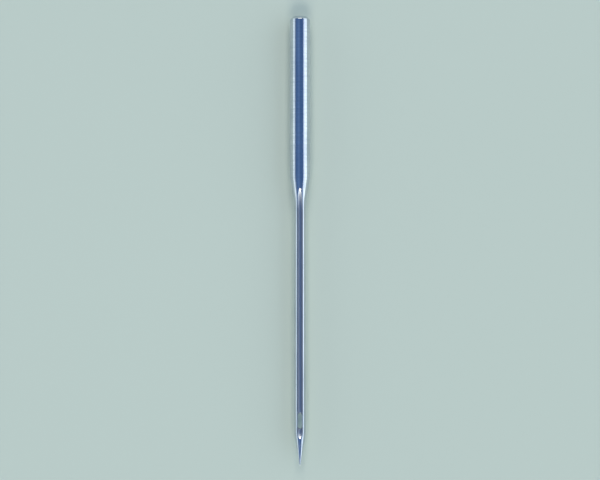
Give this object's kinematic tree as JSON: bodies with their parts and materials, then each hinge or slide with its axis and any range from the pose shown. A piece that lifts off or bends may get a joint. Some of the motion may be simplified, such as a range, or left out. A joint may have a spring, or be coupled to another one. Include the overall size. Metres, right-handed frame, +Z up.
{
  "type": "sewing machine needle",
  "caption": "Straight steel needle for an industrial sewing machine: round shank, short tapered shoulder, slim grooved blade with a scarf and an eye close to its sharp point.",
  "frame": {"origin": "on the surface that the shank rests on, below the middle of the needle's length", "axes": "+X along the needle from the butt towards the point, +Z up, out of the side with the long groove"},
  "size_m": [0.0442, 0.002, 0.002],
  "materials": {
    "needle_steel": "bright plated and polished steel, with fine lengthwise polishing marks"
  },
  "bodies": {
    "root": {"needle": "needle_steel"}
  },
  "joints": []
}
